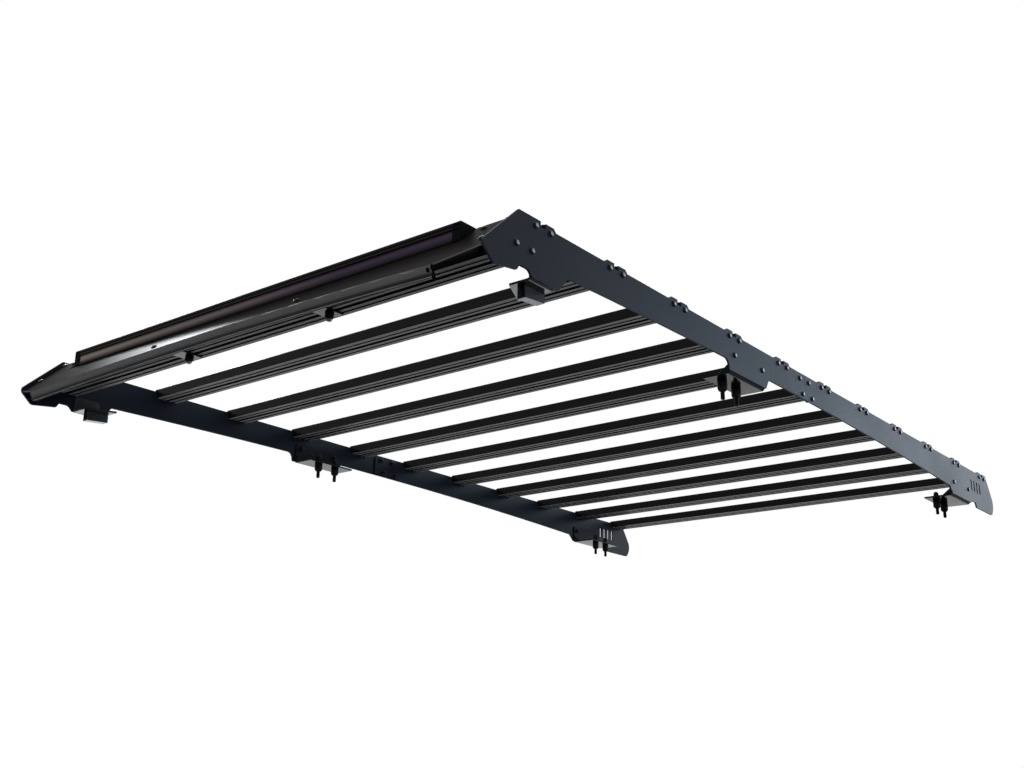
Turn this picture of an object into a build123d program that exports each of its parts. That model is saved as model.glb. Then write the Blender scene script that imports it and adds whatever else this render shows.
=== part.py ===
from build123d import *

import os
from math import cos, radians, sin, tan

# Flat platform roof rack: two plate rails in two sections each, extruded deck slats between
# them, a sloped wind fairing with a light bar in front, and six bolted feet below.
# Millimetres. X runs across the vehicle, -Y is its front, Z is up. The floor is Z = 0.
# Sketch places count from the first deck slat's centre (y) and the rail's straight top edge (z).

# Overall
rack_width = 1218.0
rail_thickness = 4.0
slat_count = 11
slat_pitch = 202.0

# Slat extrusion: slotted above and below, with two grooves a side
slat_width = 55.0
slat_height = 20.5
slat_rise = 6.0
slat_edge_chamfer = 1.2
slot_mouth = 9.0
slot_lip = 3.0
slot_cavity_width = 16.0
slot_cavity_height = 4.5
groove_width = 6.0
groove_depth = 2.0
groove_offset = 14.5

# The lower front slat, ahead of and below the first deck slat
lower_slat_y = -47.0
lower_slat_drop = 45.5

# Rail plate: seats for the slats, nose, feet lobes and tail
seat_margin = 5.5
seat_slope = 6.0
notch_margin = 2.0
notch_floor = 2.0
nose_top_y = -61.2
nose_tip_y = -148.0
nose_tip_z = -75.4
nose_base_y = -118.5
nose_base_z = -101.7
nose_heel_y = -64.0
nose_heel_z = -93.8
arch_front_y = -57.5
arch_rear_y = -36.0
arch_z = -84.0
front_lobe_start_y = -26.0
front_lobe_end_y = 40.0
front_lobe_depth = 94.0
beam_front_y = 66.0
beam_front_depth = 65.0
beam_mid_depth = 54.0
beam_rear_depth = 75.5
mid_lobe_pitches = 3.25
mid_lobe_length = 147.0
mid_lobe_depth = 75.0
mid_lobe_front_flare = 5.0
mid_lobe_rear_flare = 16.0
mid_lobe_overlap = 4.0
mid_lobe_fillet = 14.0
rear_lobe_flare = 20.0
rear_lobe_before_last = 176.0
rear_lobe_length = 140.0
rear_lobe_depth = 93.5
tail_gap_depth = 87.0
tail_gap_slope = 12.0
tail_gap_length = 24.0
tail_start_before_last = 63.0
tail_depth = 99.5
tail_heel_after_last = 64.0
tail_reach = 78.0
tail_tip_top_z = -58.0
tail_tip_low_z = -78.0
tail_top_after_last = 33.0
tail_slots_before_last = 59.0
tail_slots_z = -42.5
tail_slot_count = 4
tail_slot_pitch = 22.0
tail_slot_width = 8.0
tail_slot_height = 30.0

# Rounding of the rail's corners, in order round its front end and round its tail
front_corner_radii = (8.0, 2.0, 10.0, 4.0, 3.0, 10.0, 10.0, 2.0, 2.0, 2.0)
tail_corner_radii = (2.0, 3.0, 30.0, 30.0, 14.0, 6.0, 3.0, 2.0, 2.0, 8.0)

# Splice between the front and the rear section of a rail
seam_pitches = 4.5
seam_offset = 5.0
seam_z = -28.5
seam_lean = 21.0
seam_gap = 0.8
splice_length = 96.0
splice_height = 46.0
splice_thickness = 4.0
splice_corner_radius = 5.0

# Feet: bent brackets inside the rails, with studs behind and blocks in front
bracket_thickness = 4.0
bracket_bend_radius = 2.0
bracket_corner_radius = 8.0
gusset_reach = 24.0
gusset_height = 15.5
flange_drop = 4.3
mid_bracket_length = 140.0
mid_bracket_height = 50.0
rear_bracket_length = 140.0
rear_bracket_height = 52.0
mid_foot_offset = 4.0
stud_spacing = 55.0
mid_stud_inset = 40.5
rear_stud_inset = 56.0
flange_margin = 17.0
stud_diameter = 9.0
stud_clearance = 0.5
stud_above = 14.0
stud_tip_length = 16.5
sleeve_diameter = 19.0
mid_sleeve_length = 18.0
rear_sleeve_length = 20.5
front_bracket_start_y = -25.0
front_bracket_length = 59.0
front_bracket_height = 34.0
front_flange_drop = 1.8
front_flange_front_reach = 42.0
front_flange_rear_reach = 70.0
block_width = 16.0
block_length = 48.0
block_start_y = -11.5
block_inset = 20.5
block_front_height = 19.2
block_rear_height = 14.8
block_wall = 2.5

# Wind fairing: a flat sloped sheet whose lower edge is arched and bent back into a lip
fairing_slope = 42.6
fairing_y = -80.0
fairing_z = -22.0
fairing_thickness = 2.5
fairing_end_gap = 1.0
fairing_tab_top = 33.0
fairing_bar_edge = -20.7
fairing_tab_gap = 8.0
fairing_nose_inset = 76.0
fairing_nose_mid = -89.5
fairing_nose_end = -120.0
fairing_side_low = -84.0
lip_depth = 14.0
lip_bend_radius = 6.0
bend_relief = 8.0
trim_width = 9.0
trim_grip = 5.0
trim_bulb = 10.0
trim_flat = 0.4

# Fairing brackets under the lower slat
fairing_bracket_x = 190.0
fairing_bracket_width = 32.0
fairing_bracket_thickness = 4.0
fairing_bracket_rear_y = -30.0
fairing_bracket_toe = -76.0

# Light bar above the fairing, and the brackets at its ends
bar_end_inset = 89.0
bar_cap_length = 16.0
bar_front_y = -88.0
bar_depth = 50.0
bar_top_z = 3.4
bar_height = 32.4
bar_edge_radius = 2.0
bar_fin_count = 5
bar_fin_depth = 14.0
bar_fin_gap = 3.0
lens_recess = 6.0
lens_setback = 2.0
lens_top_margin = 12.5
lens_bottom_margin = 3.0
bar_bracket_thickness = 3.0
bar_bracket_side_gap = 17.0
bar_bracket_low = -4.0
bar_bracket_high = 30.0
bar_bracket_depth = 14.0

# Places worked out from the sizes above
inner_half = rack_width / 2 - rail_thickness
outer_half = rack_width / 2
slat_length = 2 * inner_half
last_slat_y = (slat_count - 1) * slat_pitch
slat_middle_z = slat_rise - slat_height / 2
lower_slat_z = slat_middle_z - lower_slat_drop
lower_slat_bottom_z = lower_slat_z - slat_height / 2
seat_half = slat_width / 2 + seat_margin
slot_depth = slot_lip + slot_cavity_height
seam_y = seam_pitches * slat_pitch + seam_offset
seam_reach = front_lobe_depth + rear_lobe_depth + tail_depth
bar_half_length = inner_half - bar_end_inset
fairing_tab_x = bar_half_length + fairing_tab_gap
fairing_nose_x = inner_half - fairing_nose_inset
mid_lobe_y = mid_lobe_pitches * slat_pitch
mid_foot_y = mid_lobe_y + mid_foot_offset
rear_lobe_y = last_slat_y - rear_lobe_before_last
rear_tip_drop = rear_lobe_depth + flange_drop + rear_sleeve_length + stud_tip_length
slope_across = cos(radians(fairing_slope))
slope_up = sin(radians(fairing_slope))

# The origin is on the floor in the middle of the whole length and width
bend_setback = lip_bend_radius * (slope_across + slope_up - 1)
front_end_y = fairing_y + fairing_nose_end * slope_across + bend_setback
rear_end_y = last_slat_y + tail_reach
first_slat_y = -(front_end_y + rear_end_y) / 2
rail_top_z = rear_tip_drop

deck_slats = [index * slat_pitch for index in range(slat_count)]
os.makedirs("parts", exist_ok=True)


def side_plane(x):
    """A plane across the rack at x, with y towards the rear and z up."""
    return Plane(origin=(x, first_slat_y, rail_top_z), x_dir=(0, 1, 0), z_dir=(1, 0, 0))


def level_plane(z):
    """A level plane at height z from the rail's top edge."""
    return Plane(origin=(0, first_slat_y, rail_top_z + z), x_dir=(1, 0, 0), z_dir=(0, 0, 1))


def across_plane(y):
    """An upright plane across the rack at y, facing the front, with x across and z up."""
    return Plane(origin=(0, first_slat_y + y, rail_top_z), x_dir=(1, 0, 0), z_dir=(0, -1, 0))


def fairing_plane(depth):
    """The fairing's outer face, or a plane that far behind it; y runs up its slope."""
    return Plane(
        origin=(
            0,
            first_slat_y + fairing_y + depth * slope_up,
            rail_top_z + fairing_z - depth * slope_across,
        ),
        x_dir=(1, 0, 0),
        z_dir=(0, -slope_up, slope_across),
    )


def fairing_point(along, depth):
    """The side-plane place of a point on the fairing's slope, at a depth behind its face."""
    return (
        fairing_y + along * slope_across + depth * slope_up,
        fairing_z + along * slope_up - depth * slope_across,
    )


def save(piece, name):
    """Label a finished piece and write it to its own file."""
    piece.part.label = name
    export_step(piece.part, f"parts/{name}.step")


# Slats
def slat(name, slat_y, slat_z):
    """One slotted extrusion from rail to rail."""
    with BuildPart() as bar:
        with BuildSketch(side_plane(-inner_half)) as profile:
            with Locations((slat_y, slat_z)):
                Rectangle(slat_width, slat_height)
            chamfer(profile.vertices(), slat_edge_chamfer)
            for side in (1, -1):
                face_z = slat_z + side * slat_height / 2
                with Locations((slat_y, face_z - side * slot_depth / 2)):
                    Rectangle(slot_mouth, slot_depth, mode=Mode.SUBTRACT)
                with Locations((slat_y, face_z - side * (slot_lip + slot_cavity_height / 2))):
                    Rectangle(slot_cavity_width, slot_cavity_height, mode=Mode.SUBTRACT)
                with Locations(
                    (slat_y - groove_offset, face_z - side * groove_depth / 2),
                    (slat_y + groove_offset, face_z - side * groove_depth / 2),
                ):
                    Rectangle(groove_width, groove_depth, mode=Mode.SUBTRACT)
        extrude(amount=slat_length)
    save(bar, name)


for number, deck_y in enumerate(deck_slats, start=1):
    slat(f"slat_{number:02d}", deck_y, slat_middle_z)
slat("front_lower_slat", lower_slat_y, lower_slat_z)


# Rails
def rail_section(name, inner_x, is_front):
    """One flat plate with a nose or a tail, raised seats for the slats and lobes for the feet."""
    front_corners = [
        (beam_front_y, -beam_front_depth),
        (front_lobe_end_y, -front_lobe_depth),
        (front_lobe_start_y, -front_lobe_depth),
        (arch_rear_y, arch_z),
        (arch_front_y, arch_z),
        (nose_heel_y, nose_heel_z),
        (nose_base_y, nose_base_z),
        (nose_tip_y, nose_tip_z),
        (nose_top_y, slat_rise),
        (seat_half - seat_slope, slat_rise),
        (seat_half, 0),
        (last_slat_y - seat_half, 0),
    ]
    gap_front_y = rear_lobe_y + rear_lobe_length / 2
    tail_corners = [
        (last_slat_y - seat_half, 0),
        (last_slat_y - seat_half + seat_slope, slat_rise),
        (last_slat_y + tail_top_after_last, slat_rise),
        (last_slat_y + tail_reach, tail_tip_top_z),
        (last_slat_y + tail_reach, tail_tip_low_z),
        (last_slat_y + tail_heel_after_last, -tail_depth),
        (last_slat_y - tail_start_before_last, -tail_depth),
        (gap_front_y + tail_gap_slope + tail_gap_length, -tail_gap_depth),
        (gap_front_y + tail_gap_slope, -tail_gap_depth),
        (gap_front_y, -rear_lobe_depth),
        (rear_lobe_y - rear_lobe_length / 2, -rear_lobe_depth),
        (rear_lobe_y - rear_lobe_length / 2 - rear_lobe_flare, -beam_rear_depth),
    ]
    mid_front_y = mid_lobe_y - mid_lobe_length / 2
    mid_rear_y = mid_lobe_y + mid_lobe_length / 2
    lobe_root_z = -beam_mid_depth + mid_lobe_overlap
    with BuildPart() as plate:
        with BuildSketch(side_plane(inner_x)) as outline:
            with BuildLine():
                nose = FilletPolyline(*front_corners, radius=front_corner_radii)
                tail = FilletPolyline(*tail_corners, radius=tail_corner_radii)
                ThreePointArc(tail @ 1, (mid_lobe_y, -beam_mid_depth), nose @ 0)
            make_face()
            Polygon(
                (mid_front_y - mid_lobe_front_flare, lobe_root_z),
                (mid_front_y, -mid_lobe_depth),
                (mid_rear_y, -mid_lobe_depth),
                (mid_rear_y + mid_lobe_rear_flare, lobe_root_z),
                align=None,
            )
            lobe_roots = [
                outline.vertices().sort_by_distance((root_y, -beam_mid_depth))[0]
                for root_y in (mid_front_y - mid_lobe_front_flare, mid_rear_y + mid_lobe_rear_flare)
            ]
            fillet(lobe_roots, mid_lobe_fillet)
            with Locations(*[(deck_y, 0) for deck_y in deck_slats[1:-1]]):
                Polygon(
                    (-seat_half, 0),
                    (-seat_half + seat_slope, slat_rise),
                    (seat_half - seat_slope, slat_rise),
                    (seat_half, 0),
                    align=None,
                )
            with Locations(*[(deck_y, slat_rise) for deck_y in deck_slats]):
                Rectangle(
                    slot_mouth + 2 * notch_margin,
                    slot_depth + notch_floor,
                    align=(Align.CENTER, Align.MAX),
                    mode=Mode.SUBTRACT,
                )
            with Locations((last_slat_y - tail_slots_before_last, tail_slots_z)):
                with GridLocations(tail_slot_pitch, 0, tail_slot_count, 1):
                    Rectangle(tail_slot_width, tail_slot_height, mode=Mode.SUBTRACT)
            side = 1 if is_front else -1
            seam_edge = seam_y - side * seam_gap / 2
            far_edge = seam_y + side * (last_slat_y + rack_width)
            seam_run = seam_reach * tan(radians(seam_lean))
            Polygon(
                (seam_edge - seam_run, seam_z + seam_reach),
                (seam_edge + seam_run, seam_z - seam_reach),
                (far_edge, seam_z - seam_reach),
                (far_edge, seam_z + seam_reach),
                align=None,
                mode=Mode.SUBTRACT,
            )
        extrude(amount=rail_thickness)
    save(plate, name)


for side_name, inner_x in (("left", inner_half), ("right", -outer_half)):
    rail_section(f"{side_name}_rail_front", inner_x, True)
    rail_section(f"{side_name}_rail_rear", inner_x, False)


# Splice plates, bolted across the seam inside each rail
def splice_plate(name, low_x):
    with BuildPart() as plate:
        with BuildSketch(side_plane(low_x)):
            with Locations((seam_y, seam_z)):
                RectangleRounded(splice_length, splice_height, splice_corner_radius)
        extrude(amount=splice_thickness)
    save(plate, name)


splice_plate("left_splice_plate", inner_half - splice_thickness)
splice_plate("right_splice_plate", -inner_half)


# Feet
def mirrored_x(side, inset):
    """A place inset from the inner face of the left (side 1) or right (side -1) rail."""
    return side * (inner_half - inset)


def gusset(side, y, bottom_z, thickness):
    """A small triangular web between a bracket's leg and its flange, from y by its thickness."""
    half = bracket_thickness / 2
    flange_top = bottom_z + bracket_thickness
    with BuildSketch(across_plane(y)) as web:
        Polygon(
            (mirrored_x(side, half), bottom_z + half),
            (mirrored_x(side, gusset_reach), bottom_z + half),
            (mirrored_x(side, gusset_reach), flange_top),
            (mirrored_x(side, bracket_thickness), flange_top + gusset_height),
            (mirrored_x(side, half), flange_top + gusset_height),
            align=None,
        )
    extrude(web.sketch, amount=-thickness)


def foot_bracket(name, side, start_y, length, height, bottom_z, reaches, holes):
    """A bent plate: a leg on the rail's inner face and a flange under the lobe."""
    end_y = start_y + length
    front_reach, rear_reach = reaches
    with BuildPart() as bracket:
        with BuildSketch(level_plane(bottom_z)):
            Polygon(
                (mirrored_x(side, 0), start_y),
                (mirrored_x(side, front_reach), start_y),
                (mirrored_x(side, rear_reach), end_y),
                (mirrored_x(side, 0), end_y),
                align=None,
            )
        extrude(amount=bracket_thickness)
        leg_x = min(mirrored_x(side, 0), mirrored_x(side, bracket_thickness))
        with BuildSketch(side_plane(leg_x)):
            with Locations((start_y + length / 2, bottom_z + height / 2)):
                Rectangle(length, height)
        extrude(amount=bracket_thickness)
        bends = bracket.edges().filter_by(Axis.Y)
        bend_y = first_slat_y + start_y + length / 2
        bend_z = rail_top_z + bottom_z
        inner_corner = (mirrored_x(side, bracket_thickness), bend_y, bend_z + bracket_thickness)
        outer_corner = (mirrored_x(side, 0), bend_y, bend_z)
        inner_bend = bends.sort_by_distance(inner_corner)[0]
        outer_bend = bends.sort_by_distance(outer_corner)[0]
        fillet(inner_bend, bracket_bend_radius)
        fillet(outer_bend, bracket_bend_radius + bracket_thickness)
        top_corners = bracket.edges().filter_by(Axis.X).group_by(Axis.Z)[-1]
        fillet(top_corners, bracket_corner_radius)
        if holes:
            gusset(side, start_y, bottom_z, bracket_thickness)
            gusset(side, end_y, bottom_z, -bracket_thickness)
            with BuildSketch(level_plane(bottom_z)):
                with Locations(*holes):
                    Circle(stud_diameter / 2 + stud_clearance)
            extrude(amount=bracket_thickness, mode=Mode.SUBTRACT)
    save(bracket, name)


def foot_studs(name, places, bottom_z, sleeve_length):
    """Two studs through a flange, each with a sleeve under it."""
    with BuildPart() as studs:
        with BuildSketch(level_plane(bottom_z - sleeve_length)):
            with Locations(*places):
                Circle(sleeve_diameter / 2)
        extrude(amount=sleeve_length)
        with BuildSketch(level_plane(bottom_z - sleeve_length - stud_tip_length)):
            with Locations(*places):
                Circle(stud_diameter / 2)
        extrude(amount=stud_tip_length + sleeve_length + bracket_thickness + stud_above)
    save(studs, name)


def front_block(name, side, flange_z):
    """A channel under the front flange, open in front and behind, that sits on the roof."""
    middle_x = mirrored_x(side, block_inset + block_width / 2)
    with BuildPart() as block:
        with BuildSketch(side_plane(middle_x - block_width / 2)):
            with BuildLine():
                Polyline(
                    (block_start_y, flange_z),
                    (block_start_y + block_length, flange_z),
                    (block_start_y + block_length, flange_z - block_rear_height),
                    (block_start_y, flange_z - block_front_height),
                    close=True,
                )
            make_face()
        extrude(amount=block_width)
        with BuildSketch(side_plane(middle_x - block_width / 2 + block_wall)):
            with BuildLine():
                Polyline(
                    (block_start_y, flange_z),
                    (block_start_y + block_length, flange_z),
                    (block_start_y + block_length, flange_z - block_rear_height + block_wall),
                    (block_start_y, flange_z - block_front_height + block_wall),
                    close=True,
                )
            make_face()
        extrude(amount=block_width - 2 * block_wall, mode=Mode.SUBTRACT)
    save(block, name)


front_flange_z = -front_lobe_depth - front_flange_drop
mid_flange_z = -mid_lobe_depth - flange_drop
rear_flange_z = -rear_lobe_depth - flange_drop

for side_name, side in (("left", 1), ("right", -1)):
    foot_bracket(
        f"{side_name}_front_foot_bracket",
        side,
        front_bracket_start_y,
        front_bracket_length,
        front_bracket_height,
        front_flange_z,
        (front_flange_front_reach, front_flange_rear_reach),
        [],
    )
    front_block(f"{side_name}_front_foot_block", side, front_flange_z)
    for foot, foot_y, length, height, flange_z, inset, sleeve in (
        (
            "mid", mid_foot_y, mid_bracket_length, mid_bracket_height, mid_flange_z,
            mid_stud_inset, mid_sleeve_length,
        ),
        (
            "rear", rear_lobe_y, rear_bracket_length, rear_bracket_height, rear_flange_z,
            rear_stud_inset, rear_sleeve_length,
        ),
    ):
        stud_x = mirrored_x(side, inset)
        stud_places = [(stud_x, foot_y - stud_spacing / 2), (stud_x, foot_y + stud_spacing / 2)]
        reach = inset + flange_margin
        foot_bracket(
            f"{side_name}_{foot}_foot_bracket",
            side, foot_y - length / 2, length, height, flange_z, (reach, reach), stud_places,
        )
        foot_studs(f"{side_name}_{foot}_foot_studs", stud_places, flange_z, sleeve)


# Wind fairing
def nose_arc(shift):
    """The arched lower edge, moved up the slope by shift."""
    return ThreePointArc(
        (-fairing_nose_x, fairing_nose_end + shift),
        (0, fairing_nose_mid + shift),
        (fairing_nose_x, fairing_nose_end + shift),
    )


fairing_half = inner_half - fairing_end_gap
with BuildPart() as wind_fairing:
    with BuildSketch(fairing_plane(fairing_thickness)):
        with BuildLine():
            nose_edge = nose_arc(0)
            Polyline(
                nose_edge @ 1,
                (fairing_nose_x, fairing_nose_end + bend_relief),
                (fairing_half, fairing_side_low),
                (fairing_half, fairing_tab_top),
                (fairing_tab_x, fairing_tab_top),
                (fairing_tab_x, fairing_bar_edge),
                (-fairing_tab_x, fairing_bar_edge),
                (-fairing_tab_x, fairing_tab_top),
                (-fairing_half, fairing_tab_top),
                (-fairing_half, fairing_side_low),
                (-fairing_nose_x, fairing_nose_end + bend_relief),
                nose_edge @ 0,
            )
        make_face()
    extrude(amount=fairing_thickness)
    with BuildSketch(fairing_plane(lip_depth)):
        with BuildLine():
            lip_edge = nose_arc(0)
            lip_back = nose_arc(fairing_thickness)
            Line(lip_edge @ 1, lip_back @ 1)
            Line(lip_edge @ 0, lip_back @ 0)
        make_face()
    extrude(amount=lip_depth)
    inside_bend = fairing_plane(fairing_thickness).from_local_coords(
        (0, fairing_nose_mid + fairing_thickness, 0)
    )
    arched = wind_fairing.edges().filter_by(GeomType.CIRCLE)
    fillet(arched.sort_by_distance(inside_bend)[0], lip_bend_radius - fairing_thickness)
    outside_bend = fairing_plane(0).from_local_coords((0, fairing_nose_mid, 0))
    arched = wind_fairing.edges().filter_by(GeomType.CIRCLE)
    fillet(arched.sort_by_distance(outside_bend)[0], lip_bend_radius)
save(wind_fairing, "wind_fairing")

trim_middle = fairing_thickness / 2
with BuildPart() as fairing_edge_trim:
    with BuildSketch(fairing_plane(lip_depth + trim_bulb)):
        with BuildLine():
            outer = nose_arc(trim_middle - trim_width / 2)
            inner = nose_arc(trim_middle + trim_width / 2)
            Line(outer @ 1, inner @ 1)
            Line(outer @ 0, inner @ 0)
        make_face()
    extrude(amount=trim_bulb + trim_grip)
    with BuildSketch(fairing_plane(lip_depth)):
        with BuildLine():
            outer = nose_arc(0)
            inner = nose_arc(fairing_thickness)
            Line(outer @ 1, inner @ 1)
            Line(outer @ 0, inner @ 0)
        make_face()
    extrude(amount=trim_grip, mode=Mode.SUBTRACT)
    low_face = fairing_edge_trim.faces().sort_by(Axis((0, 0, 0), fairing_plane(0).z_dir))[0]
    fillet(low_face.edges().filter_by(GeomType.CIRCLE), trim_width / 2 - trim_flat)
save(fairing_edge_trim, "fairing_edge_trim")


def fairing_bracket(name, middle_x):
    """A bent strip from the lower slat's underside to the back of the fairing."""
    top_z = lower_slat_bottom_z
    bottom_z = top_z - fairing_bracket_thickness
    back = fairing_thickness + fairing_bracket_thickness
    bend_top = (top_z - fairing_z + fairing_thickness * slope_across) / slope_up
    bend_low = (bottom_z - fairing_z + back * slope_across) / slope_up
    with BuildPart() as strip:
        with BuildSketch(side_plane(middle_x - fairing_bracket_width / 2)):
            with BuildLine():
                Polyline(
                    (fairing_bracket_rear_y, top_z),
                    fairing_point(bend_top, fairing_thickness),
                    fairing_point(fairing_bracket_toe, fairing_thickness),
                    fairing_point(fairing_bracket_toe, back),
                    fairing_point(bend_low, back),
                    (fairing_bracket_rear_y, bottom_z),
                    close=True,
                )
            make_face()
        extrude(amount=fairing_bracket_width)
    save(strip, name)


fairing_bracket("left_fairing_bracket", fairing_bracket_x)
fairing_bracket("right_fairing_bracket", -fairing_bracket_x)

# Light bar: a finned housing with a recessed lens between two end caps
bar_middle_y = bar_front_y + bar_depth / 2
bar_middle_z = bar_top_z - bar_height / 2
housing_half = bar_half_length - bar_cap_length
lens_height = bar_height - lens_top_margin - lens_bottom_margin
lens_middle_z = bar_top_z - lens_top_margin - lens_height / 2
with BuildPart() as light_bar_housing:
    with BuildSketch(side_plane(-housing_half)):
        with Locations((bar_middle_y, bar_middle_z)):
            RectangleRounded(bar_depth, bar_height, bar_edge_radius)
        fin_pitch = bar_height / (bar_fin_count + 1)
        with Locations((bar_front_y + bar_depth, bar_middle_z)):
            with GridLocations(0, fin_pitch, 1, bar_fin_count):
                Rectangle(2 * bar_fin_depth, bar_fin_gap, mode=Mode.SUBTRACT)
    extrude(amount=2 * housing_half)
    front_face = Plane(
        origin=(0, first_slat_y + bar_front_y, rail_top_z + lens_middle_z),
        x_dir=(1, 0, 0),
        z_dir=(0, -1, 0),
    )
    with BuildSketch(front_face):
        Rectangle(2 * housing_half, lens_height)
    extrude(amount=-lens_recess, mode=Mode.SUBTRACT)
save(light_bar_housing, "light_bar_housing")

with BuildPart() as light_bar_lens:
    with BuildSketch(front_face.offset(-lens_recess)):
        Rectangle(2 * housing_half, lens_height)
    extrude(amount=lens_recess - lens_setback)
save(light_bar_lens, "light_bar_lens")


def light_bar_end_cap(name, low_x):
    """A plain cap that closes one end of the housing."""
    with BuildPart() as cap:
        with BuildSketch(side_plane(low_x)):
            with Locations((bar_middle_y, bar_middle_z)):
                RectangleRounded(bar_depth, bar_height, bar_edge_radius)
        extrude(amount=bar_cap_length)
    save(cap, name)


light_bar_end_cap("left_light_bar_end_cap", housing_half)
light_bar_end_cap("right_light_bar_end_cap", -bar_half_length)


def light_bar_bracket(name, side):
    """An angle on the end of the light bar, with a leg behind the fairing's end tab."""
    height = bar_bracket_high - bar_bracket_low
    middle = (bar_bracket_high + bar_bracket_low) / 2
    reach = bar_end_inset - bar_bracket_side_gap
    with BuildPart() as angle:
        with BuildSketch(fairing_plane(fairing_thickness + bar_bracket_thickness)):
            with Locations((side * (bar_half_length + reach / 2), middle)):
                Rectangle(reach, height)
        extrude(amount=bar_bracket_thickness)
        with BuildSketch(fairing_plane(fairing_thickness + bar_bracket_depth)):
            with Locations((side * (bar_half_length + bar_bracket_thickness / 2), middle)):
                Rectangle(bar_bracket_thickness, height)
        extrude(amount=bar_bracket_depth)
    save(angle, name)


light_bar_bracket("left_light_bar_bracket", 1)
light_bar_bracket("right_light_bar_bracket", -1)
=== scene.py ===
# %% [markdown]
# A flat platform roof rack for a car, seen from the front and from below.
# The solids come packed from CAD in metres and stay where they are. Bolts, studs and rubber edges
# are added here, placed from the boxes of the nodes that carry them, or counted from the first
# slat and the rails' top edge.

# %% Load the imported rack
from math import cos, pi, radians, sin, sqrt

import bpy
from mathutils import Matrix, Quaternion, Vector


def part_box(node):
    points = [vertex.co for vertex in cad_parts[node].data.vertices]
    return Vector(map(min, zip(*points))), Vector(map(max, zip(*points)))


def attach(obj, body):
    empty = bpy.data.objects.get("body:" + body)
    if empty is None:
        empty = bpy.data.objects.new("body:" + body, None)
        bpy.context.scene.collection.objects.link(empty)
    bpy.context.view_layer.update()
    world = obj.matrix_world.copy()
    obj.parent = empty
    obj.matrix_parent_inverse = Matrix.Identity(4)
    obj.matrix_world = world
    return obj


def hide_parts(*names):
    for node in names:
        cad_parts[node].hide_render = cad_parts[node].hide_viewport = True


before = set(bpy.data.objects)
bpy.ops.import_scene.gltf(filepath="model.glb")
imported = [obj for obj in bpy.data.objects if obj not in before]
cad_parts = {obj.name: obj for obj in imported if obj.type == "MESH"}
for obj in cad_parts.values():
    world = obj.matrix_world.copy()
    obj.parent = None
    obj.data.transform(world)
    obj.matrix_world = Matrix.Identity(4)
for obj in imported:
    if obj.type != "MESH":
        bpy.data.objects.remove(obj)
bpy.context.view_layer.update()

scene = bpy.context.scene
scene.view_settings.view_transform = "Standard"
MM = 0.001
print("nodes", len(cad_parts))

# %% [markdown]
# Three places run through the whole rack: the rails' straight top edge, the centre of the first
# deck slat and the two faces of a rail. They could be typed in, but read from the boxes of those
# nodes they stay true when a size changes in the CAD.

# %% Places that the rest counts from
SLAT_RISE = 6
SIDES = (("left", 1), ("right", -1))
slat_low, slat_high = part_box("slat_01")
first_slat_y = (slat_low.y + slat_high.y) / 2
rail_top_z = slat_high.z - SLAT_RISE * MM
inner_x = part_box("left_rail_front")[0].x
outer_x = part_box("left_rail_front")[1].x


def rack_place(x, y, z):
    """A place in millimetres from the middle, the first slat and the rails' top edge."""
    return Vector((x * MM, first_slat_y + y * MM, rail_top_z + z * MM))


def box_middle(node):
    low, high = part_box(node)
    return (low + high) / 2


print("first slat", round(first_slat_y, 4), "rail top", round(rail_top_z, 4))
print("rail faces", round(inner_x, 4), round(outer_x, 4))

# %% [markdown]
# The photograph was taken from the front left corner, a little below the rack. Its two vanishing
# points give the lens and the direction, and the spacing of the slats gives the distance. A camera
# can be aimed with a target, but an azimuth, an elevation and a small roll say it in three numbers.

# %% Camera
CAMERA_PLACE = (1639.8, -1361.8, -801.6)
CAMERA_AZIMUTH = 38.63
CAMERA_ELEVATION = -17.735
CAMERA_ROLL = 0.821
CAMERA_LENS = 42.72
CAMERA_SENSOR = 36

camera_data = bpy.data.cameras.new("camera")
camera_data.lens = CAMERA_LENS
camera_data.sensor_width = CAMERA_SENSOR
camera = bpy.data.objects.new("camera", camera_data)
scene.collection.objects.link(camera)
scene.camera = camera

level = cos(radians(CAMERA_ELEVATION))
backwards = Vector(
    (
        sin(radians(CAMERA_AZIMUTH)) * level,
        -cos(radians(CAMERA_AZIMUTH)) * level,
        sin(radians(CAMERA_ELEVATION)),
    )
)
aim = (-backwards).to_track_quat("-Z", "Y")
camera.rotation_mode = "QUATERNION"
camera.rotation_quaternion = aim @ Quaternion((0, 0, 1), radians(CAMERA_ROLL))
camera.location = rack_place(*CAMERA_PLACE)
print("camera at", tuple(round(v, 3) for v in camera.location))

# %% [markdown]
# Materials are graphs of nodes, and long graphs are hard to read as links. Here a wire is one
# output of a node, and arithmetic on wires adds the Math nodes that work it out.


# %% Wires
class Wire:
    """One output of a node, which Python's operators can combine with others."""

    def __init__(self, finish, socket):
        self.finish = finish
        self.socket = socket

    def combine(self, operation, other, swapped=False):
        pair = (other, self) if swapped else (self, other)
        kind = "ShaderNodeVectorMath" if self.socket.type == "VECTOR" else "ShaderNodeMath"
        return self.finish.node(kind, {"operation": operation}, {0: pair[0], 1: pair[1]})

    def __add__(self, other):
        return self.combine("ADD", other)

    def __radd__(self, other):
        return self.combine("ADD", other, True)

    def __sub__(self, other):
        return self.combine("SUBTRACT", other)

    def __rsub__(self, other):
        return self.combine("SUBTRACT", other, True)

    def __mul__(self, other):
        return self.combine("MULTIPLY", other)

    def __rmul__(self, other):
        return self.combine("MULTIPLY", other, True)


print("wires ready")

# %% [markdown]
# A finish is the node tree of one material. One method makes every node: its type, its settings,
# then what goes into its sockets. The others are short ways to the nodes that most finishes share:
# a mix of two colours, a noise, a bump, a tone that drifts, and the surface at the end.


# %% Finishes
def shade(tone, share=1.0):
    """A written colour, lighter or darker by a share, as a socket takes it."""
    return tuple(share * part for part in tone) + (1,)


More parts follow.
